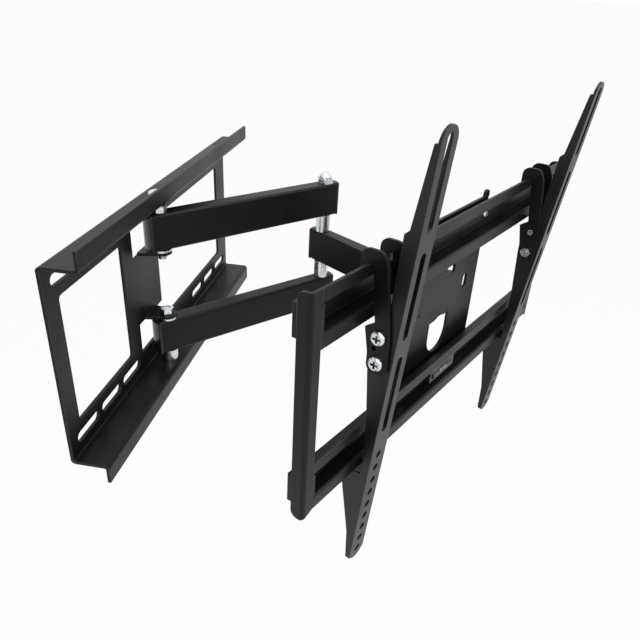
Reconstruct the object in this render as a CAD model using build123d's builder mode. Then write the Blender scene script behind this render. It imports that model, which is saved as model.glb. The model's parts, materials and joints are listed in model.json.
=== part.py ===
from build123d import *
import os
from math import cos, radians, sin, sqrt

os.makedirs("parts", exist_ok=True)

# Full motion wall mount for a television, in millimetres, posed half unfolded.
# The wall is the plane Y = 0, the room lies towards -Y, X runs along the wall and Z is up.
# The origin is the middle of the wall plate's back face.

# Clearances
running_gap = 0.05  # radial play of a pin in the bore that turns on it
fit_gap = 0.05  # play of a part seated in a hole or a tube
face_gap = 0.2  # play between flat faces that turn past each other
slide_gap = 0.3  # play of a carriage on its rail

# Wall plate: one pressed sheet
plate_sheet = 3.0
plate_width = 440.0
plate_height = 188.0
flange_depth = 35.0
lip_height = 15.5
window_height = 121.0
window_corner = 4.0
left_side_bar = 19.0
right_side_bar = 33.0
web_width = 22.0
panel_width = 58.0
relief_margin = 24.0  # sheet left between a relief notch and the plate's edge
wall_slot_length = 39.0
wall_slot_width = 10.0
wall_slot_pitch = 45.0
wall_slot_inset = 31.0  # from the plate's end to the centre of its first slot
wall_slot_edge = 18.0  # from the flange to the centreline of the slots
wall_slots_per_row = 3

# Wall pivot
pivot_x = -42.0
pivot_y = -21.0
ear_tip_radius = 10.0
ear_root_width = 28.0
bolt_radius = 4.0
bolt_head_radius = 9.0
bolt_head_height = 5.0
bolt_head_round = 2.0
bolt_tail = 3.0  # thread standing out of a nut
wall_bolt_tail = 6.0  # thread standing past an ear of the wall plate
nut_radius = 7.5  # over the corners
nut_height = 6.5
cap_nut_radius = 9.8
cap_nut_base = 5.5
cap_nut_dome = 7.2
cap_nut_bore = 8.0
washer_radius = 10.0
washer_thickness = 2.0
spacer_radius = 8.5

# Arms: one rectangular steel tube for all three
arm_width = 18.0
arm_height = 38.0
tube_wall = 2.0
tube_corner = 2.5
sleeve_radius = 6.5  # pivot sleeve through a tube
tube_overrun = 12.0  # tube beyond a pivot
cap_radius = 16.5  # rounded end of an arm, about its pivot
cap_plug_depth = 4.0
cap_edge_round = 1.0
arm_length = 206.0  # wall pivot to elbow
arm_level = 59.0  # height of the upper arm's axis; the lower arm is its mirror image
forearm_length = 157.0  # elbow to head pivot

# Head: swivel bracket, centre plate and television frame
head_reach = 42.0  # head pivot to the front of the rails
frame_drop = 3.0  # middle of the frame below the head pivot's
head_sheet = 3.0
swivel_plate_width = 44.0
swivel_ear_radius = 14.0
head_washer_thickness = 1.0
frame_half_width = 247.0
rail_top = 104.0
rail_bottom = 54.0
rail_sheet = 2.5
rail_depth = 17.0
rail_upper_flange = 13.0
rail_lower_flange = 13.0
rail_bend = 1.5  # at the middle of the sheet
centre_plate_width = 158.0
centre_plate_height = 193.0
centre_plate_corner = 8.0
plate_lug_radius = 5.0  # lugs at the plate's upper corners
plate_lug_offset = 73.5
plate_lug_level = 98.0
plate_lug_hole = 1.8
window_half_width = 21.0  # rounded window in the centre plate
window_top = -20.0
window_bottom = -60.0
long_slot_length = 42.0
long_slot_width = 4.0
long_slot_level = 29.0
key_width = 18.0  # wide end of the long slot
key_height = 9.0
key_corner = 1.5
short_slot_length = 18.0
short_slot_width = 10.0
short_slot_offset = 51.0
short_slot_level = 6.0
pilot_hole_radius = 1.6
pilot_hole_offset = -47.0
end_bar_width = 13.0
end_bar_depth = 13.0
end_bar_bend = 3.0
end_bar_corner = 7.0
end_bar_drop = 5.0  # end of the bar's fold below the lower rail
rivet_radius = 2.4
rivet_head_radius = 4.5
rivet_head_height = 2.2
rivet_head_round = 1.8
rivet_inset = 11.0  # rivet centre from the centre plate's side edge

# Spirit level in the lower rail
level_length = 54.0
level_height = 14.0
level_depth = 10.0
level_corner = 2.0
vial_radius = 4.0
vial_length = 42.0

# Hook carriages, which hang on the upper rail and slide along it
left_carriage = -159.0
right_carriage = 163.0
hook_sheet = 2.5
hook_front_low = 22.5  # front edge of the cheeks before the rails, at the tilt pivot
hook_front_high = 14.5  # the same at the rail's top
hook_rise = 11.0  # crown of the hook above the rail
hook_slope = 5.0  # front edge's run from the rail's top to the crown
hook_lip = 7.6  # thickness of the lip behind the rail's flange
hook_lip_drop = 9.0
hook_foot = 8.0  # height of the hook's lower end
hook_stand_high = 1.2  # rear edge of the cheeks before the rail, at the rail's top
hook_stand_low = 7.2  # the same at the notch above the jaw
hook_notch = 0.5  # notch above the rail's lower edge
hook_jaw = 5.4  # tip of the jaw below the rail
hook_jaw_reach = 1.5
hook_back = 2.6  # rear edge of the cheeks before the rails, below the jaw
hook_back_level = 26.0
hook_bridge_low = 72.0
hook_bridge_high = 99.0
hook_crown_round = 8.0
hook_bend_round = 8.0
hook_tip_round = 1.0
square_hole_width = 4.0
square_hole_depth = 8.7  # centre of the square hole before the rails
square_hole_level = 31.6

# Television brackets
bracket_sheet = 2.5
bracket_width = 24.0
bracket_top = 170.0  # above the tilt pivot
bracket_bottom = -268.5
face_depth = 15.2  # tilt pivot to the bracket's front face
tilt_pivot_depth = 12.5  # tilt pivot in front of the rails
tilt_pivot_level = 43.0
lock_distance = 24.0  # lock screw below the tilt pivot
screw_radius = 3.0
screw_head_radius = 6.5
screw_head_height = 4.0
screw_head_round = 2.5
cross_length = 7.4  # cross recess in a screw's head
cross_width = 2.0
cross_depth = 2.8
screw_nut_radius = 5.8
screw_nut_height = 5.0
screw_tail = 1.2
tilt_back = -5.0  # lean of the screen, top towards the wall
tilt_forward = 7.5
slot_ends = ((92.5, 165.0), (-1.5, 76.0), (-98.0, -18.0))
face_hole_radius = 4.0
face_hole_first = -126.0
face_hole_pitch = 16.2
face_hole_count = 9
side_top = 158.0
side_bottom = -262.5
# Rear edge of a bracket's sides: depth behind the front face, level from the tilt pivot, corner radius
side_edge = (
    (5.0, side_top, 1.0),
    (9.5, 94.0, 2.0),
    (13.3, 90.0, 2.0),
    (12.0, 30.0, 6.0),
    (22.5, 12.0, 6.0),
    (23.5, -14.0, 8.0),
    (22.5, -30.0, 20.0),
    (14.0, -80.0, 20.0),
    (7.0, -142.0, 3.0),
    (7.0, -148.0, 3.0),
    (23.5, -151.5, 3.0),
    (26.0, -166.0, 4.0),
    (9.5, -228.0, 20.0),
    (5.0, side_bottom, 1.0),
)

# Pose in which the mount stands
arm_angle = -43.0
forearm_angle = -128.0
head_yaw = -27.8
left_tilt = 5.2
right_tilt = 6.6

# Levels and places that follow
flange_top = plate_height / 2
flange_under = flange_top - plate_sheet
lip_top = flange_top + lip_height
web_right = pivot_x - panel_width / 2
web_left = web_right - web_width
window_left = -plate_width / 2 + left_side_bar
window_right = plate_width / 2 - right_side_bar
arm_top = arm_level + arm_height / 2
arm_under = arm_level - arm_height / 2
forearm_top = arm_height / 2
ear_top = arm_under - face_gap - washer_thickness
ear_under = ear_top - plate_sheet
relief_reach = flange_top - relief_margin
pin_bore = bolt_radius + running_gap
frame_inner = frame_half_width - end_bar_width
recess_top = rail_top - rail_upper_flange
recess_bottom = rail_bottom + rail_lower_flange
recess_middle = (recess_top + recess_bottom) / 2
recess_floor = rail_depth - rail_sheet
swivel_plate_back = rail_depth + 2 * head_sheet
swivel_ear_under = forearm_top + face_gap + head_washer_thickness
swivel_ear_top = swivel_ear_under + head_sheet
rivet_offset = centre_plate_width / 2 - rivet_inset
screw_bore = screw_radius + running_gap
cheek_inside = bracket_width / 2 + face_gap
cheek_outside = cheek_inside + hook_sheet
lock_level = tilt_pivot_level - lock_distance
crown = rail_top + hook_rise
lip_front = rail_sheet + slide_gap
notch_level = rail_bottom + hook_notch
stand_slope = (hook_stand_low - hook_stand_high) / (rail_top - notch_level)

elbow_x = pivot_x + arm_length * cos(radians(arm_angle))
elbow_y = pivot_y + arm_length * sin(radians(arm_angle))
head_x = elbow_x + forearm_length * cos(radians(forearm_angle))
head_y = elbow_y + forearm_length * sin(radians(forearm_angle))
wall_axis = Location((pivot_x, pivot_y, 0))
arm_pose = Location((pivot_x, pivot_y, 0), (0, 0, arm_angle))
forearm_pose = Location((elbow_x, elbow_y, 0), (0, 0, forearm_angle))
elbow_pose = Location((elbow_x, elbow_y, 0), (0, 0, arm_angle))
head_pose = Location((head_x, head_y, 0), (0, 0, head_yaw))
frame_pose = head_pose * Location((0, -head_reach, -frame_drop))
upside_down = Location((0, 0, 0), (180, 0, 0))


def write(piece, node, pose):
    """Sets a piece in its pose and writes it under its name."""
    placed = piece.moved(pose)
    placed.label = node
    export_step(placed, f"parts/{node}.step")


def ring(outer, inner, low, high):
    """A washer, spacer or sleeve about the Z axis."""
    with BuildPart() as turned:
        with BuildSketch(Plane.XY.offset(low)):
            Circle(outer)
            Circle(inner, mode=Mode.SUBTRACT)
        extrude(amount=high - low)
    return turned.part


def hex_nut(low):
    """A hexagon nut with chamfered corners, standing on the given level."""
    with BuildPart() as nut:
        with BuildSketch(Plane.XY.offset(low)):
            RegularPolygon(nut_radius, 6)
            Circle(bolt_radius + fit_gap, mode=Mode.SUBTRACT)
        extrude(amount=nut_height)
        with BuildSketch(Plane.XZ):
            with BuildLine():
                corner = nut_radius * (1 - sqrt(3) / 2)
                Polyline(
                    (0, low), (nut_radius - corner, low), (nut_radius, low + corner / 2),
                    (nut_radius, low + nut_height - corner / 2), (nut_radius - corner, low + nut_height),
                    (0, low + nut_height), close=True,
                )
            make_face()
        revolve(axis=Axis.Z, mode=Mode.INTERSECT)
    return nut.part


def pivot_bolt(head_level, tip_level):
    """A round-headed bolt, head up, with its shank down to the given level."""
    with BuildPart() as bolt:
        with BuildSketch(Plane.XY.offset(head_level)):
            Circle(bolt_head_radius)
        extrude(amount=bolt_head_height)
        fillet(bolt.edges().group_by(Axis.Z)[-1], radius=bolt_head_round)
        with BuildSketch(Plane.XY.offset(tip_level)):
            Circle(bolt_radius)
        extrude(amount=head_level - tip_level)
    return bolt.part


def arm_tube(length, level):
    """A rectangular tube along X with a cross hole for the sleeve at each pivot."""
    with BuildPart() as tube:
        with BuildSketch(Plane.YZ.offset(-tube_overrun)):
            with Locations((0, level)):
                RectangleRounded(arm_width, arm_height, tube_corner)
                Rectangle(arm_width - 2 * tube_wall, arm_height - 2 * tube_wall, mode=Mode.SUBTRACT)
        extrude(amount=length + 2 * tube_overrun)
        with Locations((0, 0, level + arm_height / 2), (length, 0, level + arm_height / 2)):
            Hole(sleeve_radius + fit_gap)
    return tube.part


def end_cap(level):
    """A plug with a rounded nose for the tube end behind the pivot at X = 0."""
    half = arm_width / 2
    shoulder = -sqrt(cap_radius**2 - half**2)
    with BuildPart() as cap:
        with BuildSketch(Plane.XY.offset(level - arm_height / 2)):
            with BuildLine():
                nose = ThreePointArc((shoulder, -half), (-cap_radius, 0), (shoulder, half))
                Polyline(nose @ 1, (-tube_overrun, half), (-tube_overrun, -half), nose @ 0)
            make_face()
        extrude(amount=arm_height)
        fillet(cap.faces().sort_by(Axis.X)[0].edges().filter_by(GeomType.CIRCLE), radius=cap_edge_round)
        with BuildSketch(Plane.YZ.offset(-tube_overrun)):
            with Locations((0, level)):
                Rectangle(
                    arm_width - 2 * (tube_wall + fit_gap),
                    arm_height - 2 * (tube_wall + fit_gap),
                )
        extrude(amount=cap_plug_depth)
    return cap.part


def group(*pieces):
    """Like pieces that share one name, kept as separate solids."""
    with BuildPart() as together:
        for piece in pieces:
            add(piece)
    return together.part


# Wall plate: windows, slots and panel are cut from the sheet, and its edges are folded to
# flanges with lips. Two ears are folded forward from the panel to carry the arms' pivots.
with BuildPart() as wall_plate:
    with BuildSketch(Plane.XZ):
        Rectangle(plate_width, plate_height - 2 * plate_sheet)
        with Locations(((window_left + web_left) / 2, 0)):
            RectangleRounded(web_left - window_left, window_height, window_corner, mode=Mode.SUBTRACT)
        with Locations(((web_right + window_right) / 2, 0)):
            RectangleRounded(window_right - web_right, window_height, window_corner, mode=Mode.SUBTRACT)
        with Locations((pivot_x, 0)):
            Rectangle(panel_width, 2 * relief_reach, mode=Mode.SUBTRACT)
            Rectangle(panel_width, 2 * ear_top - plate_sheet)
        for end in (-1, 1):
            for place in range(wall_slots_per_row):
                slot_x = end * (plate_width / 2 - wall_slot_inset - place * wall_slot_pitch)
                with Locations((slot_x, flange_top - wall_slot_edge), (slot_x, wall_slot_edge - flange_top)):
                    SlotOverall(wall_slot_length, wall_slot_width, mode=Mode.SUBTRACT)
    extrude(amount=plate_sheet)
    with BuildSketch(Plane.YZ.offset(-plate_width / 2)):
        with BuildLine():
            FilletPolyline(
                (-plate_sheet / 2, flange_under - 2 * plate_sheet),
                (-plate_sheet / 2, flange_top - plate_sheet / 2),
                (plate_sheet / 2 - flange_depth, flange_top - plate_sheet / 2),
                (plate_sheet / 2 - flange_depth, lip_top),
                radius=plate_sheet,
            )
        trace(line_width=plate_sheet)
    extrude(amount=plate_width)
    with BuildSketch(Plane.XY.offset(ear_under)):
        with Locations((pivot_x, pivot_y)):
            Circle(ear_tip_radius)
        with Locations((pivot_x, -plate_sheet / 2)):
            Rectangle(ear_root_width, plate_sheet)
        make_hull()
    extrude(amount=plate_sheet)
    mirror(about=Plane.XY)
    with Locations((pivot_x, pivot_y, lip_top)):
        Hole(bolt_radius + fit_gap)
write(wall_plate.part, "wall_plate", Location())

# Wall pivots: a bolt through each flange carries an arm and is screwed into the ear. One nut
# locks the upper bolt above its arm and the other stands on the lower ear.
wall_bolt = pivot_bolt(flange_top, ear_under - wall_bolt_tail)
write(group(wall_bolt, wall_bolt.moved(upside_down)), "wall_pivot_bolts", wall_axis)
write(group(hex_nut(arm_top + face_gap), hex_nut(-ear_under)), "wall_pivot_nuts", wall_axis)
wall_spacer = ring(spacer_radius, bolt_radius + fit_gap, -flange_under, -arm_top - face_gap)
write(wall_spacer, "wall_pivot_spacer", wall_axis)
ear_washer = ring(washer_radius, bolt_radius + fit_gap, ear_top, ear_top + washer_thickness)
write(group(ear_washer, ear_washer.moved(upside_down)), "wall_pivot_washers", wall_axis)

# Arm pair: two tubes that swing together about the wall pivot.
write(arm_tube(arm_length, arm_level), "upper_arm", arm_pose)
write(arm_tube(arm_length, -arm_level), "lower_arm", arm_pose)
arm_sleeve = ring(sleeve_radius, pin_bore, arm_under, arm_top)
arm_sleeves = group(arm_sleeve, arm_sleeve.moved(upside_down))
write(arm_sleeves, "arm_wall_sleeves", arm_pose)
write(arm_sleeves, "arm_elbow_sleeves", elbow_pose)
far_end = Location((arm_length, 0, 0), (0, 0, 180))
arm_caps = group(end_cap(arm_level), end_cap(-arm_level))
write(arm_caps, "arm_wall_caps", arm_pose)
write(arm_caps, "arm_elbow_caps", arm_pose * far_end)

# Elbow: a bolt from below, a domed nut, and a spacer above and below the forearm.
elbow_bolt = pivot_bolt(arm_top, fit_gap - arm_top - cap_nut_bore).moved(upside_down)
write(elbow_bolt, "elbow_bolt", elbow_pose)
dome_level = arm_top + cap_nut_base
with BuildPart() as elbow_nut:
    with BuildSketch(Plane.XY.offset(arm_top)):
        RegularPolygon(cap_nut_radius, 6)
    extrude(amount=cap_nut_base)
    with BuildSketch(Plane.XZ):
        with BuildLine():
            dome = CenterArc((0, dome_level), cap_nut_dome, 0, 90)
            Polyline(dome @ 1, (0, dome_level), dome @ 0)
        make_face()
    revolve(axis=Axis.Z)
    with BuildSketch(Plane.XY.offset(arm_top)):
        Circle(bolt_radius + fit_gap)
    extrude(amount=cap_nut_bore, mode=Mode.SUBTRACT)
write(elbow_nut.part, "elbow_nut", elbow_pose)
elbow_spacer = ring(spacer_radius, bolt_radius + fit_gap, forearm_top + face_gap, arm_under)
write(group(elbow_spacer, elbow_spacer.moved(upside_down)), "elbow_spacers", elbow_pose)

# Forearm: one tube between the elbow and the head pivot.
write(arm_tube(forearm_length, 0), "forearm", forearm_pose)
forearm_sleeve = ring(sleeve_radius, pin_bore, -forearm_top, forearm_top)
head_end = Location((forearm_length, 0, 0), (0, 0, 180))
write(group(forearm_sleeve, forearm_sleeve.moved(head_end)), "forearm_sleeves", forearm_pose)
write(group(end_cap(0), end_cap(0).moved(head_end)), "forearm_caps", forearm_pose)

# Swivel bracket: a plate with two ears that hold the forearm's end.
with BuildPart() as swivel_bracket:
    with BuildSketch(Plane.XZ.offset(-swivel_plate_back)):
        Rectangle(swivel_plate_width, 2 * swivel_ear_top)
    extrude(amount=head_sheet)
    with BuildSketch(Plane.XY.offset(swivel_ear_under)):
        with Locations((0, head_reach)):
            Circle(swivel_ear_radius)
        with Locations((0, swivel_plate_back - head_sheet / 2)):
            Rectangle(swivel_plate_width, head_sheet)
        make_hull()
    extrude(amount=head_sheet)
    mirror(about=Plane.XY)
    with Locations((0, head_reach, swivel_ear_top)):
        Hole(bolt_radius + fit_gap)
write(swivel_bracket.part, "swivel_bracket", head_pose * Location((0, -head_reach, 0)))

head_bolt = pivot_bolt(swivel_ear_top, -swivel_ear_top - nut_height - bolt_tail)
write(head_bolt, "head_bolt", head_pose)
write(hex_nut(-swivel_ear_top - nut_height), "head_nut", head_pose)
head_washer = ring(washer_radius, bolt_radius + fit_gap, forearm_top + face_gap, swivel_ear_under)
write(group(head_washer, head_washer.moved(upside_down)), "head_washers", head_pose)

# Centre plate: joins the swivel bracket to both rails, with a round-bottomed window.
rivet_spots = [(u, z) for u in (-rivet_offset, rivet_offset) for z in (-recess_middle, recess_middle)]
with BuildPart() as centre_plate:
    with BuildSketch(Plane.XZ.offset(-rail_depth - head_sheet)):
        RectangleRounded(centre_plate_width, centre_plate_height, centre_plate_corner)
        with Locations((-plate_lug_offset, plate_lug_level), (plate_lug_offset, plate_lug_level)):
            Circle(plate_lug_radius)
            Circle(plate_lug_hole, mode=Mode.SUBTRACT)
        bow_centre = window_bottom + window_half_width
        with Locations((0, (window_top + bow_centre) / 2)):
            Rectangle(2 * window_half_width, window_top - bow_centre, mode=Mode.SUBTRACT)
        with Locations((0, bow_centre)):
            Circle(window_half_width, mode=Mode.SUBTRACT)
        with Locations((0, long_slot_level)):
            SlotOverall(long_slot_length, long_slot_width, mode=Mode.SUBTRACT)
        key_place = (long_slot_length - key_width) / 2
        with Locations((key_place, long_slot_level + (key_height - long_slot_width) / 2)):
            RectangleRounded(key_width, key_height, key_corner, mode=Mode.SUBTRACT)
        with Locations((short_slot_offset, short_slot_level)):
            SlotOverall(short_slot_length, short_slot_width, rotation=90, mode=Mode.SUBTRACT)
        with Locations((pilot_hole_offset, 0)):
            Circle(pilot_hole_radius, mode=Mode.SUBTRACT)
        with Locations(*rivet_spots):
            Circle(rivet_radius + fit_gap, mode=Mode.SUBTRACT)
    extrude(amount=head_sheet)
write(centre_plate.part, "centre_plate", frame_pose)

# Rails: a hat section, open to the front and closed at its ends. Tabs lap behind the end bars.
with BuildPart() as top_rail:
    with BuildSketch(Plane.YZ.offset(-frame_inner)):
        with BuildLine():
            half_sheet = rail_sheet / 2
            FilletPolyline(
                (half_sheet, rail_top),
                (half_sheet, recess_top + half_sheet),
                (rail_depth - half_sheet, recess_top + half_sheet),
                (rail_depth - half_sheet, recess_bottom - half_sheet),
                (half_sheet, recess_bottom - half_sheet),
                (half_sheet, rail_bottom),
                radius=rail_bend,
            )
        trace(line_width=rail_sheet)
    extrude(amount=2 * frame_inner)
    with BuildSketch(Plane.XZ.offset(-rail_depth)):
        with Locations((0, recess_middle)):
            Rectangle(2 * frame_half_width, recess_top - recess_bottom + 2 * rail_sheet)
            Rectangle(2 * frame_inner, recess_top - recess_bottom + 2 * rail_sheet, mode=Mode.SUBTRACT)
    extrude(amount=rail_depth - end_bar_depth)
    with BuildSketch(Plane.XZ.offset(-rail_depth)):
        end_wall = frame_inner - rail_sheet / 2
        with Locations((-end_wall, recess_middle), (end_wall, recess_middle)):
            Rectangle(rail_sheet, recess_top - recess_bottom)
    extrude(amount=rail_depth)
    with BuildSketch(Plane.XZ.offset(-rail_depth)):
        with Locations((-rivet_offset, recess_middle), (rivet_offset, recess_middle)):
            Circle(rivet_radius + fit_gap)
    extrude(amount=rail_sheet, mode=Mode.SUBTRACT)
write(top_rail.part, "top_rail", frame_pose)
write(top_rail.part.mirror(Plane.XY), "bottom_rail", frame_pose)

with BuildPart() as rivets:
    with BuildSketch(Plane.XZ.offset(-recess_floor)):
        with Locations(*rivet_spots):
            Circle(rivet_head_radius)
    extrude(amount=rivet_head_height)
    fillet(rivets.edges().group_by(Axis.Y)[0], radius=rivet_head_round)
    with BuildSketch(Plane.XZ.offset(-recess_floor)):
        with Locations(*rivet_spots):
            Circle(rivet_radius)
    extrude(amount=-rail_sheet - head_sheet)
    with BuildSketch(Plane.XZ.offset(-rail_depth - head_sheet)):
        with Locations(*rivet_spots):
            Circle(rivet_head_radius)
    extrude(amount=-rivet_head_height)
    fillet(rivets.edges().group_by(Axis.Y)[-1], radius=rivet_head_round)
write(rivets.part, "rail_rivets", frame_pose)

# End bars: angles that join the rails' ends, with their sides folded back.
bar_bottom = -rail_top - end_bar_drop
with BuildPart() as end_bar:
    with BuildSketch(Plane.XY.offset(bar_bottom)):
        with BuildLine():
            FilletPolyline(
                (frame_inner, rail_sheet / 2),
                (frame_half_width - rail_sheet / 2, rail_sheet / 2),
                (frame_half_width - rail_sheet / 2, end_bar_depth),
                radius=end_bar_bend,
            )
        trace(line_width=rail_sheet)
    extrude(amount=rail_top - bar_bottom)
    fillet(end_bar.edges().filter_by(Axis.X).group_by(Axis.Y)[-1], radius=end_bar_corner)
    with BuildSketch(Plane.XZ.offset(-end_bar_depth)):
        with BuildLine():
            Polyline(
                (frame_inner, bar_bottom),
                (frame_half_width, bar_bottom),
                (frame_inner, -rail_top),
                close=True,
            )
        make_face()
    extrude(amount=end_bar_depth, mode=Mode.SUBTRACT)
write(end_bar.part, "right_end_bar", frame_pose)
write(end_bar.part.mirror(Plane.YZ), "left_end_bar", frame_pose)

# Spirit level: a housing on the floor of the lower rail, with a vial in a round seat.
vial_depth = recess_floor - level_depth + vial_radius / 2
with BuildPart() as level_housing:
    with BuildSketch(Plane.XZ.offset(-recess_floor)):
        with Locations((0, -recess_middle)):
            RectangleRounded(level_length, level_height, level_corner)
    extrude(amount=level_depth)
    with BuildSketch(Plane.YZ.offset(-vial_length / 2)):
        with Locations((vial_depth, -recess_middle)):
            Circle(vial_radius + fit_gap)
    extrude(amount=vial_length, mode=Mode.SUBTRACT)
write(level_housing.part, "level_housing", frame_pose)
with BuildPart() as level_vial:
    with BuildSketch(Plane.YZ.offset(fit_gap - vial_length / 2)):
        with Locations((vial_depth, -recess_middle)):
            Circle(vial_radius)
    extrude(amount=vial_length - 2 * fit_gap)
write(level_vial.part, "level_vial", frame_pose)

# Hook carriage: a channel whose cheeks hang over the upper rail, with a jaw under it. The
# television bracket turns between the cheeks. This is the left one; the right one mirrors it.
cheek_outline = (
    (-hook_front_low, hook_foot, hook_bend_round),
    (-hook_front_low, tilt_pivot_level, hook_bend_round),
    (-hook_front_high, rail_top, hook_bend_round),
    (-hook_front_high + hook_slope, crown, hook_crown_round),
    (lip_front + hook_lip, crown, hook_crown_round),
    (lip_front + hook_lip, rail_top - hook_lip_drop, hook_tip_round),
    (lip_front, rail_top - hook_lip_drop, hook_tip_round),
    (lip_front, rail_top + slide_gap, 0),
    (-hook_stand_high, rail_top + slide_gap, 0),
    (-hook_stand_high, rail_top, 0),
    (-hook_stand_low, notch_level, hook_tip_round),
    (hook_jaw_reach, rail_bottom - hook_jaw, hook_tip_round),
    (-hook_back, hook_back_level, hook_bend_round),
    (-hook_back, hook_foot, hook_bend_round),
)
with BuildPart() as carriage:
    with BuildSketch(Plane.YZ.offset(cheek_inside)) as cheek:
        with BuildLine():
            FilletPolyline(
                *[(depth, level) for depth, level, rounding in cheek_outline],
                radius=[rounding for depth, level, rounding in cheek_outline],
                close=True,
            )
        make_face()
        with Locations((-tilt_pivot_depth, tilt_pivot_level), (-tilt_pivot_depth, lock_level)):
            Circle(screw_bore, mode=Mode.SUBTRACT)
    extrude(amount=hook_sheet)
    with BuildSketch(Plane.YZ.offset(-cheek_outside)):
        add(cheek.sketch_local)
        with Locations((-square_hole_depth, square_hole_level)):
            Rectangle(square_hole_width, square_hole_width, mode=Mode.SUBTRACT)
    extrude(amount=hook_sheet)
    with BuildSketch(Plane.YZ.offset(-cheek_inside)):
        with BuildLine():
            bridge_low = -hook_stand_high - stand_slope * (rail_top - hook_bridge_low)
            bridge_high = -hook_stand_high - stand_slope * (rail_top - hook_bridge_high)
            Polyline(
                (bridge_low, hook_bridge_low),
                (bridge_high, hook_bridge_high),
                (bridge_high - hook_sheet, hook_bridge_high),
                (bridge_low - hook_sheet, hook_bridge_low),
                close=True,
            )
        make_face()
    extrude(amount=2 * cheek_inside)


def cross_screw(tip):
    """A pan-headed screw along X, its head outside the left cheek, with its tip at the given place."""
    with BuildPart() as screw:
        with BuildSketch(Plane.YZ.offset(-cheek_outside)):
            Circle(screw_head_radius)
        extrude(amount=-screw_head_height)
        fillet(screw.edges().group_by(Axis.X)[0], radius=screw_head_round)
        with BuildSketch(Plane.YZ.offset(-cheek_outside - screw_head_height)):
            Rectangle(cross_length, cross_width)
            Rectangle(cross_width, cross_length)
        extrude(amount=cross_depth, mode=Mode.SUBTRACT)
        with BuildSketch(Plane.YZ.offset(-cheek_outside)):
            Circle(screw_radius)
        extrude(amount=cheek_outside + tip)
    return screw.part


# Tilt screw, screwed into the far cheek, and lock screw with a nut outside it.
tilt_screw = cross_screw(cheek_outside + screw_tail)
lock_screw = cross_screw(cheek_outside + screw_nut_height + screw_tail)
with BuildPart() as lock_nut:
    with BuildSketch(Plane.YZ.offset(cheek_outside)):
        RegularPolygon(screw_nut_radius, 6)
        Circle(screw_radius + fit_gap, mode=Mode.SUBTRACT)
    extrude(amount=screw_nut_height)

# Television bracket: a channel whose face takes the screen's screws and whose sides turn on the
# tilt screw. Curved slots let it lean past the lock screw.
with BuildPart() as bracket:
    with BuildSketch(Plane.XZ.offset(face_depth)):
        with Locations((0, (bracket_top + bracket_bottom) / 2)):
            SlotOverall(bracket_top - bracket_bottom, bracket_width, rotation=90)
        with Locations((0, (side_top + side_bottom) / 2)):
            Rectangle(bracket_width, side_top - side_bottom)
        for low, high in slot_ends:
            with Locations((0, (low + high) / 2)):
                SlotOverall(high - low, 2 * face_hole_radius, rotation=90, mode=Mode.SUBTRACT)
        for place in range(face_hole_count):
            with Locations((0, face_hole_first - place * face_hole_pitch)):
                Circle(face_hole_radius, mode=Mode.SUBTRACT)
    extrude(amount=-bracket_sheet)
    with BuildSketch(Plane.YZ.offset(-bracket_width / 2)) as bracket_side:
        with BuildLine():
            FilletPolyline(
                (-face_depth, side_top),
                *[(depth - face_depth, level) for depth, level, rounding in side_edge],
                (-face_depth, side_bottom),
                radius=[0, *[rounding for depth, level, rounding in side_edge], 0],
                close=True,
            )
        make_face()
        Circle(screw_bore, mode=Mode.SUBTRACT)
        lock_path = Edge.make_circle(
            lock_distance, start_angle=270 - tilt_forward, end_angle=270 - tilt_back
        )
        SlotArc(lock_path, 2 * screw_bore, mode=Mode.SUBTRACT)
    extrude(amount=bracket_sheet)
    with BuildSketch(Plane.YZ.offset(bracket_width / 2 - bracket_sheet)):
        add(bracket_side.sketch_local)
    extrude(amount=bracket_sheet)

for side, offset, tilt in (("left", left_carriage, left_tilt), ("right", right_carriage, right_tilt)):
    carriage_pose = frame_pose * Location((offset, 0, 0))
    tilt_axis = carriage_pose * Location((0, -tilt_pivot_depth, tilt_pivot_level))
    lock_axis = carriage_pose * Location((0, -tilt_pivot_depth, lock_level))
    pieces = [carriage.part, tilt_screw, lock_screw, lock_nut.part]
    if side == "right":
        pieces = [piece.mirror(Plane.YZ) for piece in pieces]
    write(pieces[0], f"{side}_carriage", carriage_pose)
    write(pieces[1], f"{side}_tilt_screw", tilt_axis)
    write(pieces[2], f"{side}_lock_screw", lock_axis)
    write(pieces[3], f"{side}_lock_nut", lock_axis)
    write(bracket.part, f"{side}_tv_bracket", tilt_axis * Location((0, 0, 0), (tilt, 0, 0)))
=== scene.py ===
import json
import math

import bmesh
import bpy
from mathutils import Matrix, Vector


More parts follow.
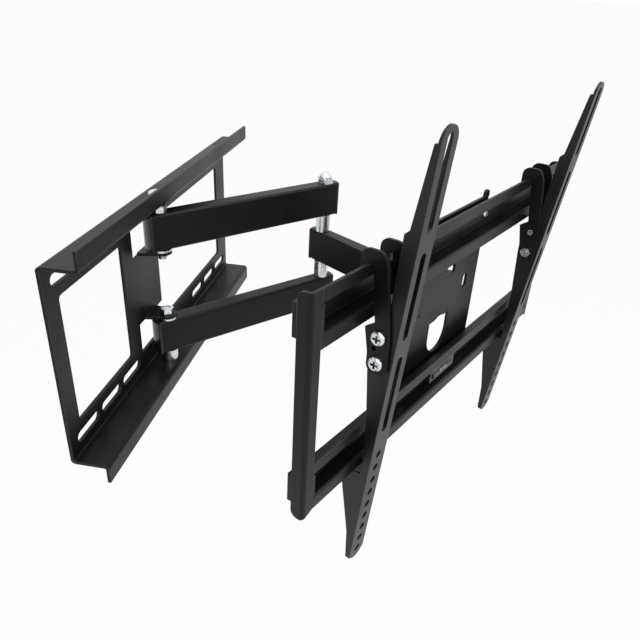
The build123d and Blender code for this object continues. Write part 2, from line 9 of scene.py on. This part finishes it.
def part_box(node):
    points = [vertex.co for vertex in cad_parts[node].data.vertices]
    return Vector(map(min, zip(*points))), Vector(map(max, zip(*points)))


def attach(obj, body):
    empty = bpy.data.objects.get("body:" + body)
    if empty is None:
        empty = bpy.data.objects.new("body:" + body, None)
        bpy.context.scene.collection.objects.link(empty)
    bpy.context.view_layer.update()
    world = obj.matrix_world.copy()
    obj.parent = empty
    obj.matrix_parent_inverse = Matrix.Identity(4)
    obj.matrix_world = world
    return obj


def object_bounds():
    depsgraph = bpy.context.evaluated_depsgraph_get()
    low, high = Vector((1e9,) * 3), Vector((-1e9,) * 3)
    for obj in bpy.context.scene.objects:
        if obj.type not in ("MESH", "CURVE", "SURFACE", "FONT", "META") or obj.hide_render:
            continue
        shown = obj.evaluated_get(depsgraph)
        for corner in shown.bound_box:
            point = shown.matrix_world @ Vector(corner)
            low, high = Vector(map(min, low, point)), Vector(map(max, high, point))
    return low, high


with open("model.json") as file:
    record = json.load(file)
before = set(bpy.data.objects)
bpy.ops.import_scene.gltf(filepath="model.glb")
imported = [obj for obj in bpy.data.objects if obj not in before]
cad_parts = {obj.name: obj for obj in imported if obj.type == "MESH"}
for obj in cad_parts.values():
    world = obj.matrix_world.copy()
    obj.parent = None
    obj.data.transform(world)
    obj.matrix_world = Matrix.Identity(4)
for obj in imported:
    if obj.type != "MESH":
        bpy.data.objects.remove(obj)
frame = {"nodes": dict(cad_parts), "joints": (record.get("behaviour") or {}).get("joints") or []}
cad_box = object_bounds()

# WALL PLATE
# One pressed steel sheet with two windows, folded flanges with lips and rows of slots for the wall
# screws. It is cut, folded and powder coated black, like every other sheet part here.
mm = 0.001
cloud_contrast = {"From_Min": 0.3, "From_Max": 0.7}  # share of the noise that spans a cloud
edge_turn = {"From_Min": 0.99, "From_Max": 0.75}  # cosine of the turn from a flat face to a sharp edge
shade_span = {"From_Min": 0.3, "From_Max": 0.8}  # share of open air from a fully shaded recess to an open face, for the painted shade
skin_strength = 0.6
ray_samples = 4


def linear(hex_colour):
    """An sRGB hex colour as the linear RGBA that a shader socket takes."""
    channels = [int(hex_colour[i : i + 2], 16) / 255 for i in (1, 3, 5)]
    return [c / 12.92 if c <= 0.04045 else ((c + 0.055) / 1.055) ** 2.4 for c in channels] + [1.0]


def add(material, kind, links=None, **settings):
    """Adds one node. Settings go to its properties or inputs, and links join its inputs to outputs."""
    made = material.node_tree.nodes.new(kind)
    for name, value in settings.items():
        if hasattr(made, name):
            setattr(made, name, value)
        else:
            made.inputs[name.replace("_", " ")].default_value = value
    for name, output in (links or {}).items():
        material.node_tree.links.new(output, made.inputs[name])
    return made


def finish(
    name,
    dark,
    pale,
    edge_scuff_and_highlight,
    painted_shade,
    grain,
    relief,
    cloud,
    edge,
    recess,
    roughness,
    stretch=(1, 1, 1),
    **shader,
):
    """A material with clouds in its colour and gloss, grain in its skin, and pale scuffs with painted
    highlight on its edges.

    Painted shade darkens corners and recesses. The sizes of grain, relief, cloud, edge and recess are in
    millimetres, and roughness is a low and a high.
    """
    material = bpy.data.materials.new(name)
    material.use_nodes = True
    material.node_tree.nodes.clear()
    place = add(material, "ShaderNodeTexCoord").outputs["Object"]
    drawn = add(material, "ShaderNodeMapping", {"Vector": place}, Scale=stretch).outputs["Vector"]
    spots = add(material, "ShaderNodeTexNoise", {"Vector": drawn}, Scale=1 / (grain * mm))
    clouds = add(material, "ShaderNodeTexNoise", {"Vector": drawn}, Scale=1 / (cloud * mm))
    patches = add(material, "ShaderNodeMapRange", {"Value": clouds.outputs["Fac"]}, **cloud_contrast)
    ground = add(material, "ShaderNodeMix", {"Factor": patches.outputs["Result"]}, data_type="RGBA")
    ground.inputs["A"].default_value = linear(dark)
    ground.inputs["B"].default_value = linear(pale)
    eased = add(material, "ShaderNodeBevel", samples=ray_samples, Radius=edge * mm).outputs["Normal"]
    flat = add(material, "ShaderNodeNewGeometry").outputs["Normal"]
    turn = add(material, "ShaderNodeVectorMath", {0: eased, 1: flat}, operation="DOT_PRODUCT")
    # Pale edge lines: a pale colour laid on sharp edges in patches, standing for scuffs and painted
    # highlight together.
    corner = add(material, "ShaderNodeMapRange", {"Value": turn.outputs["Value"]}, **edge_turn)
    scuff_and_highlight_inputs = {0: corner.outputs["Result"], 1: patches.outputs["Result"]}
    scuff_and_highlight_mask = add(material, "ShaderNodeMath", scuff_and_highlight_inputs, operation="MULTIPLY")
    unshaded_links = {"Factor": scuff_and_highlight_mask.outputs["Value"], "A": ground.outputs["Result"]}
    unshaded_colour = add(material, "ShaderNodeMix", unshaded_links, data_type="RGBA")
    unshaded_colour.inputs["B"].default_value = linear(edge_scuff_and_highlight)
    # Painted shade: ambient occlusion mixes the colour towards a dark shade colour in corners, creases and
    # recesses, and where parts touch.
    air = add(material, "ShaderNodeAmbientOcclusion", samples=ray_samples, Distance=recess * mm)
    unshaded_share = add(material, "ShaderNodeMapRange", {"Value": air.outputs["AO"]}, **shade_span)
    colour_links = {"Factor": unshaded_share.outputs["Result"], "B": unshaded_colour.outputs["Result"]}
    colour = add(material, "ShaderNodeMix", colour_links, data_type="RGBA")
    colour.inputs["A"].default_value = linear(painted_shade)
    gloss = add(material, "ShaderNodeMapRange", {"Value": clouds.outputs["Fac"]}, **cloud_contrast)
    gloss.inputs["To Min"].default_value, gloss.inputs["To Max"].default_value = roughness
    skin = add(
        material,
        "ShaderNodeBump",
        {"Height": spots.outputs["Fac"], "Normal": eased},
        Strength=skin_strength,
        Distance=relief * mm,
    )
    surface_links = {
        "Base Color": colour.outputs["Result"],
        "Roughness": gloss.outputs["Result"],
        "Normal": skin.outputs["Normal"],
    }
    surface = add(material, "ShaderNodeBsdfPrincipled", surface_links, **shader)
    add(material, "ShaderNodeOutputMaterial", {"Surface": surface.outputs["BSDF"]})
    return material


# Black powder coat, sprayed dry and baked: a satin film with a pebbled skin. It gives the eye broad
# soft highlights and deep blacks. Its sharp edges carry thin pale lines, scuffs with painted highlight,
# and its corners and recesses painted shade.
# Such pebbles are about 1 mm across and are drawn at 2.2 mm so that they show.
powder_coat = finish(
    "powder_coated_steel",
    dark="#0b0c0d",
    pale="#101112",
    edge_scuff_and_highlight="#75777a",
    painted_shade="#040405",
    grain=2.2,
    relief=0.2,
    cloud=60.0,
    edge=0.8,
    recess=4.0,
    roughness=(0.36, 0.46),
    Specular_IOR_Level=0.22,
)


def dress(material, *names):
    """Gives CAD nodes their finish."""
    for name in names:
        frame["nodes"][name].data.materials.clear()
        frame["nodes"][name].data.materials.append(material)


dress(powder_coat, "wall_plate")

# WALL PIVOT HARDWARE
# Cold-headed steel bolts with hexagon nuts, washers and a turned spacer. They clamp the arms between
# the flanges and the folded ears, and are plated with zinc. Rolled threads show where a bolt is bare.

# Zinc plate is a thin bright bluish metal skin. It gives streaked highlights broken by fine grain,
# which is usually under 0.1 mm and is drawn at 0.8 mm so that it shows.
# Its pale edge colour is scuffing with painted highlight, and its dark recess colour is painted shade in
# the screw crosses and thread roots.
zinc_plate = finish(
    "zinc_plated_steel",
    dark="#c6cdd1",
    pale="#e8ecee",
    edge_scuff_and_highlight="#f6f8f8",
    painted_shade="#2b2d2e",
    grain=0.8,
    relief=0.006,
    cloud=4.0,
    edge=0.4,
    recess=3.0,
    roughness=(0.2, 0.3),
    Metallic=1.0,
)
dress(zinc_plate, "wall_pivot_bolts", "wall_pivot_nuts", "wall_pivot_spacer", "wall_pivot_washers")


def sweep(name, sections, body, material):
    """A closed solid through a row of like sections, which are lists of points in millimetres."""
    shape = bmesh.new()
    rows = [[shape.verts.new(point * mm) for point in section] for section in sections]
    for row, after in zip(rows, rows[1:]):
        for place in range(len(row)):
            beside = (place + 1) % len(row)
            shape.faces.new((row[place], row[beside], after[beside], after[place]))
    shape.faces.new(rows[0])
    shape.faces.new(rows[-1])
    bmesh.ops.recalc_face_normals(shape, faces=shape.faces)
    for face in shape.faces:
        face.smooth = True
    mesh = bpy.data.meshes.new(name)
    shape.to_mesh(mesh)
    shape.free()
    mesh.materials.append(material)
    piece = bpy.data.objects.new(name, mesh)
    bpy.context.scene.collection.objects.link(piece)
    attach(piece, body)


def middle_of(name):
    """Middle of a CAD node's box, in millimetres."""
    low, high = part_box(name)
    return (low + high) / 2 / mm


upward = Vector((0, 0, 1))
shank_radius = 4.0
thread_pitch = 1.25
thread_height = 0.4
thread_sink = 0.05  # foot of the ridge inside the shank
thread_foot_half = 0.4  # half widths of the ridge, as shares of the pitch
thread_crest_half = 0.08
thread_steps = 24
thread_runout = 6


def thread(name, body, bolt, low, high):
    """The ridge of a rolled thread round a bare stretch of an upright bolt, between two levels."""
    first = middle_of(bolt)
    first.z = low + thread_pitch / 2
    steps = int(((high - low) / thread_pitch - 1) * thread_steps)
    sections = []
    for step in range(steps + 1):
        turn = math.tau * step / thread_steps
        outward = Vector((math.cos(turn), math.sin(turn), 0))
        middle = first + upward * thread_pitch * step / thread_steps
        fade = min(1, step / thread_runout, (steps - step) / thread_runout)
        foot = shank_radius - thread_sink
        crest = shank_radius + thread_height * fade
        profile = (
            (foot, -thread_foot_half),
            (crest, -thread_crest_half),
            (crest, thread_crest_half),
            (foot, thread_foot_half),
        )
        sections.append([middle + outward * out + upward * rise * thread_pitch for out, rise in profile])
    sweep(name, sections, body, zinc_plate)


wall_bolt_tail = 6.0  # thread past an ear of the wall plate
ear_under = -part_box("wall_pivot_nuts")[0].z / mm
nut_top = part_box("wall_pivot_nuts")[1].z / mm
flange_under = -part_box("wall_pivot_spacer")[0].z / mm
thread("wall_bolt_tail_thread", "wall", "wall_pivot_bolts", ear_under - wall_bolt_tail, ear_under)
thread("wall_bolt_neck_thread", "wall", "wall_pivot_bolts", nut_top, flange_under)

# ARM PAIR
# Two lengths of rectangular steel tube, drilled across for turned pivot sleeves. The wall ends are
# plugged with grey nylon caps and the elbow ends with black plastic ones.
dress(powder_coat, "upper_arm", "lower_arm")

# Turned steel: bright bare metal with fine rings from the lathe, which smear its highlights.
# Such rings are about 0.2 mm apart and are drawn at 0.5 mm.
turned_steel = finish(
    "turned_steel",
    dark="#b4b7b9",
    pale="#cfd1d2",
    edge_scuff_and_highlight="#e6e7e7",
    painted_shade="#3a3c3d",
    grain=0.5,
    relief=0.03,
    cloud=3.0,
    edge=0.3,
    recess=3.0,
    roughness=(0.22, 0.36),
    stretch=(0.02, 0.02, 1.0),
    Metallic=1.0,
)
dress(turned_steel, "arm_wall_sleeves", "arm_elbow_sleeves")

# Grey nylon: moulded in a smooth tool, so it has a soft shine on its rounded nose and a faint grain.
# Such grain is about 0.3 mm across and is drawn at 1.2 mm so that it shows.
grey_nylon = finish(
    "grey_nylon",
    dark="#121415",
    pale="#1c1e1f",
    edge_scuff_and_highlight="#45484a",
    painted_shade="#060707",
    grain=1.2,
    relief=0.03,
    cloud=12.0,
    edge=0.6,
    recess=3.0,
    roughness=(0.18, 0.28),
    IOR=1.53,
)
dress(grey_nylon, "arm_wall_caps")

# Black ABS: moulded in a spark-eroded tool, so it has a fine even grain and a low sheen.
# Such grain is about 0.2 mm across and is drawn at 1.6 mm so that it shows.
black_abs = finish(
    "black_abs",
    dark="#0f1011",
    pale="#191b1c",
    edge_scuff_and_highlight="#2c2e2f",
    painted_shade="#050506",
    grain=1.6,
    relief=0.06,
    cloud=15.0,
    edge=0.6,
    recess=3.0,
    roughness=(0.34, 0.46),
    IOR=1.52,
)
dress(black_abs, "arm_elbow_caps")

# ELBOW
# A bolt from below with a domed nut on top, and a turned spacer above and below the forearm.
# All of it is zinc plated and turns with the arm pair.
dress(zinc_plate, "elbow_bolt", "elbow_nut", "elbow_spacers")

# FOREARM
# One tube between the elbow and the head, of the same section as the arms, with black caps and
# turned sleeves for the two pivots.
dress(powder_coat, "forearm")
dress(black_abs, "forearm_caps")
dress(turned_steel, "forearm_sleeves")

# SWIVEL HEAD
# A folded bracket with two ears round the forearm's end, on a zinc-plated bolt with nylon washers.
# Its plate is welded to the back of the centre plate along both upright edges.
dress(powder_coat, "swivel_bracket")
dress(zinc_plate, "head_bolt", "head_nut")
dress(grey_nylon, "head_washers")
bolt_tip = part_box("head_bolt")[0].z / mm
nut_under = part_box("head_nut")[0].z / mm
thread("head_bolt_thread", "head", "head_bolt", bolt_tip, nut_under)

rail_way = Vector(next(joint["axis"] for joint in frame["joints"] if joint["name"] == "left_slide"))
roomward = rail_way.cross(upward)
bead_leg = 2.6
bead_ripple = 0.3
bead_ripple_pitch = 1.8
bead_half_length = 22.0
bead_step = 0.3
bead_sink = 0.3
bead_bulge = 0.35  # swell of the bead's face, as a share of its leg
bead_tip = 0.3  # leg at the bead's ends, as a share of the full one
bead_taper_steps = 6
bead_arc_steps = 4
swivel_plate_half_width = 22.0
centre_plate_back = 22.0  # before the head pivot
bead_steps = round(2 * bead_half_length / bead_step)
for side, way in (("left", -1), ("right", 1)):
    outward = rail_way * way
    root = middle_of("head_bolt") + outward * swivel_plate_half_width + roomward * centre_plate_back
    root.z = 0
    sections = []
    for step in range(bead_steps + 1):
        level = step * bead_step - bead_half_length
        leg = bead_leg + bead_ripple * math.sin(math.tau * level / bead_ripple_pitch)
        steps_from_end = min(step, bead_steps - step)
        leg *= min(1, bead_tip + steps_from_end / bead_taper_steps)
        corner = root + upward * level
        profile = [corner - outward * bead_sink + roomward * bead_sink]
        for arc_step in range(bead_arc_steps + 1):
            turn = arc_step / bead_arc_steps * math.pi / 2
            out = leg * (1 - math.sin(turn))
            back = leg * (1 - math.cos(turn))
            bulge = bead_bulge * leg * math.sin(2 * turn)
            profile.append(corner + outward * (out + bulge) - roomward * (back + bulge))
        sections.append(profile)
    sweep(side + "_weld_bead", sections, "head", powder_coat)

# SCREEN FRAME
# Two hat-section rails and two end angles of folded sheet round a flat centre plate, powder coated
# and then joined with zinc-plated rivets.
dress(powder_coat, "centre_plate", "top_rail", "bottom_rail", "left_end_bar", "right_end_bar")
dress(zinc_plate, "rail_rivets")

# SPIRIT LEVEL
# A black housing in the lower rail with a clear acrylic vial of tinted spirit, set in a round seat.
# Two printed lines stand either side of the bubble.
dress(black_abs, "level_housing")

# Tinted spirit behind clear acrylic: dark and green, with a sharp bright streak along the tube.
vial_acrylic = finish(
    "acrylic_vial",
    dark="#16211a",
    pale="#33443a",
    edge_scuff_and_highlight="#66776a",
    painted_shade="#0b110d",
    grain=3.0,
    relief=0.01,
    cloud=6.0,
    edge=0.3,
    recess=2.0,
    roughness=(0.05, 0.12),
    IOR=1.49,
)
dress(vial_acrylic, "level_vial")

# White print: a matt ink film, a little thin in places.
white_print = finish(
    "white_print",
    dark="#a3aa9c",
    pale="#ccd1c2",
    edge_scuff_and_highlight="#e2e5da",
    painted_shade="#6f756a",
    grain=0.6,
    relief=0.02,
    cloud=2.0,
    edge=0.1,
    recess=0.5,
    roughness=(0.4, 0.55),
    IOR=1.5,
)

# Air in the spirit, drawn as a raised paler green lens on the vial: a painted highlight where the bubble's
# rounded edge catches the light.
painted_bubble_highlight = finish(
    "painted_bubble_highlight",
    dark="#61745c",
    pale="#93a58b",
    edge_scuff_and_highlight="#bccab3",
    painted_shade="#3f4d3c",
    grain=1.0,
    relief=0.01,
    cloud=3.0,
    edge=0.2,
    recess=0.5,
    roughness=(0.05, 0.1),
    IOR=1.36,
)

vial_radius = 4.0
print_height = 0.15
print_half_width = 0.45
print_offset = 6.0
print_reach = 50  # degrees above and below the front of the vial
print_step = 5
vial_middle = middle_of("level_vial")


def on_vial(along, turn, radius):
    """A point at a distance along the vial, turned up from its front by an angle in degrees."""
    out = roomward * math.cos(math.radians(turn)) + upward * math.sin(math.radians(turn))
    return vial_middle + rail_way * along + out * radius


inside = vial_radius - print_height
proud = vial_radius + print_height
for side, along in (("left", -print_offset), ("right", print_offset)):
    low = along - print_half_width
    high = along + print_half_width
    sections = []
    for turn in range(-print_reach, print_reach + 1, print_step):
        profile = ((low, inside), (low, proud), (high, proud), (high, inside))
        sections.append([on_vial(place, turn, radius) for place, radius in profile])
    sweep(side + "_level_line", sections, "head", white_print)

bubble_half_length = 4.5
bubble_turn = 25.0
bubble_half_turn = 18.0
bubble_height = 0.25
bubble_tip = 0.01  # half turn at the bubble's ends, as a share of the full one
bubble_steps = 16
bubble_arc_steps = 4
sections = []
for step in range(bubble_steps + 1):
    angle = math.pi * step / bubble_steps
    along = bubble_half_length * math.cos(angle)
    swell = math.hypot(math.sin(angle), bubble_tip)
    profile = [on_vial(along, bubble_turn - bubble_half_turn * swell, inside)]
    for arc_step in range(bubble_arc_steps + 1):
        across = 2 * arc_step / bubble_arc_steps - 1
        rise = bubble_height * swell * (1 - across * across)
        profile.append(on_vial(along, bubble_turn + across * bubble_half_turn * swell, vial_radius + rise))
    profile.append(on_vial(along, bubble_turn + bubble_half_turn * swell, inside))
    sections.append(profile)
sweep("level_bubble", sections, "head", painted_bubble_highlight)

# HOOK CARRIAGES
# Folded steel hooks that hang on the upper rail and slide along it. A cross-recessed screw carries
# the tilt of each bracket and a second one with a nut locks it.
for side in ("left", "right"):
    dress(powder_coat, side + "_carriage")
    dress(zinc_plate, side + "_tilt_screw", side + "_lock_screw", side + "_lock_nut")

# TELEVISION BRACKETS
# Two tall pressed channels with slots and a row of holes for the screen's screws, powder coated.
# They hang between the hooks' cheeks and lean on the tilt screws.

# Their faces look greyer than the frame's and their edges brighter, as on a coat that flowed out
# smoother. Its pebbles are drawn at 2.2 mm like the frame's, with half the relief.
smooth_coat = finish(
    "smooth_powder_coated_steel",
    dark="#0d0e0f",
    pale="#131415",
    edge_scuff_and_highlight="#75777a",
    painted_shade="#040405",
    grain=2.2,
    relief=0.1,
    cloud=60.0,
    edge=0.8,
    recess=4.0,
    roughness=(0.34, 0.44),
    Specular_IOR_Level=0.36,
)
dress(smooth_coat, "left_tv_bracket", "right_tv_bracket")

# FLOOR AND LIGHT
# A pale seamless sheet well below the mount, a white room and three soft boxes.
# The sheet and the room look white to the eye and in reflections, and light the mount less.
def background_rays(material):
    """One for a ray that shows the background to the eye, in a reflection or through glass."""
    rays = add(material, "ShaderNodeLightPath").outputs
    plain = {0: rays["Is Camera Ray"], 1: rays["Is Glossy Ray"]}
    seen = add(material, "ShaderNodeMath", plain, operation="MAXIMUM").outputs["Value"]
    through = {0: seen, 1: rays["Is Transmission Ray"]}
    return add(material, "ShaderNodeMath", through, operation="MAXIMUM").outputs["Value"]


white = "#ffffff"
paper_colour = "#f4f4f2"
white_strength = 1.0
room_strength = 0.42
floor_drop = 0.45
floor_half = 60.0
floor_white = 0.95  # share of plain white where the sheet is seen; the rest is paper that takes shadow
floor_mesh = bpy.data.meshes.new("studio_floor")
floor_shape = bmesh.new()
bmesh.ops.create_grid(floor_shape, x_segments=1, y_segments=1, size=floor_half)
floor_shape.to_mesh(floor_mesh)
floor_shape.free()
floor = bpy.data.objects.new("studio_floor", floor_mesh)
floor.location = (0, 0, cad_box[0][2] - floor_drop)
bpy.context.scene.collection.objects.link(floor)
paper = bpy.data.materials.new("white_paper")
paper.use_nodes = True
paper.node_tree.nodes.clear()
paper_share = add(paper, "ShaderNodeMath", {0: background_rays(paper)}, operation="MULTIPLY")
paper_share.inputs[1].default_value = floor_white
paper_lit = add(paper, "ShaderNodeBsdfDiffuse", Color=linear(paper_colour))
paper_white = add(paper, "ShaderNodeEmission", Color=linear(white), Strength=white_strength)
paper_mix = add(
    paper,
    "ShaderNodeMixShader",
    {0: paper_share.outputs["Value"], 1: paper_lit.outputs["BSDF"], 2: paper_white.outputs["Emission"]},
)
add(paper, "ShaderNodeOutputMaterial", {"Surface": paper_mix.outputs["Shader"]})
floor_mesh.materials.append(paper)

world = bpy.data.worlds.new("studio")
bpy.context.scene.world = world
world.use_nodes = True
world.node_tree.nodes.clear()
room_light = add(world, "ShaderNodeBackground", Color=linear(white), Strength=room_strength)
room_white = add(world, "ShaderNodeBackground", Color=linear(white), Strength=white_strength)
room_mix = add(
    world,
    "ShaderNodeMixShader",
    {0: background_rays(world), 1: room_light.outputs["Background"], 2: room_white.outputs["Background"]},
)
add(world, "ShaderNodeOutputWorld", {"Surface": room_mix.outputs["Shader"]})

centre = (cad_box[0] + cad_box[1]) / 2
for name, place, size, power in (
    ("overhead_box", (-0.3, -0.5, 1.6), 1.6, 18.0),
    ("left_box", (-1.8, -0.2, 0.9), 1.2, 8.0),
    ("front_box", (-0.4, -2.0, 0.8), 1.2, 10.0),
):
    lamp = bpy.data.lights.new(name, "AREA")
    lamp.shape = "DISK"
    lamp.size = size
    lamp.energy = power
    holder = bpy.data.objects.new(name, lamp)
    holder.location = place
    holder.rotation_euler = (centre - Vector(place)).to_track_quat("-Z", "Y").to_euler()
    bpy.context.scene.collection.objects.link(holder)

# CAMERA
# Stands to the left of the mount and above it, and looks down along the wall.
camera_place = Vector((-597.24, -267.72, 289.82)) * mm
camera_yaw = math.radians(81.65)
camera_pitch = math.radians(-28.93)
camera_roll = math.radians(3.04)
focal_pixels = 625.86
picture_pixels = 640
sensor_width = 36.0
forward = Vector(
    (
        math.cos(camera_pitch) * math.sin(camera_yaw),
        math.cos(camera_pitch) * math.cos(camera_yaw),
        math.sin(camera_pitch),
    )
)
level_right = forward.cross(upward).normalized()
level_up = level_right.cross(forward)
right = math.cos(camera_roll) * level_right + math.sin(camera_roll) * level_up
up = math.cos(camera_roll) * level_up - math.sin(camera_roll) * level_right
lens = bpy.data.cameras.new("camera")
lens.sensor_width = sensor_width
lens.lens = focal_pixels / picture_pixels * sensor_width
camera = bpy.data.objects.new("camera", lens)
camera_turn = Matrix((right, up, -forward)).transposed().to_4x4()
camera.matrix_world = Matrix.Translation(camera_place) @ camera_turn
bpy.context.scene.collection.objects.link(camera)
bpy.context.scene.camera = camera
bpy.context.scene.view_settings.view_transform = "Standard"
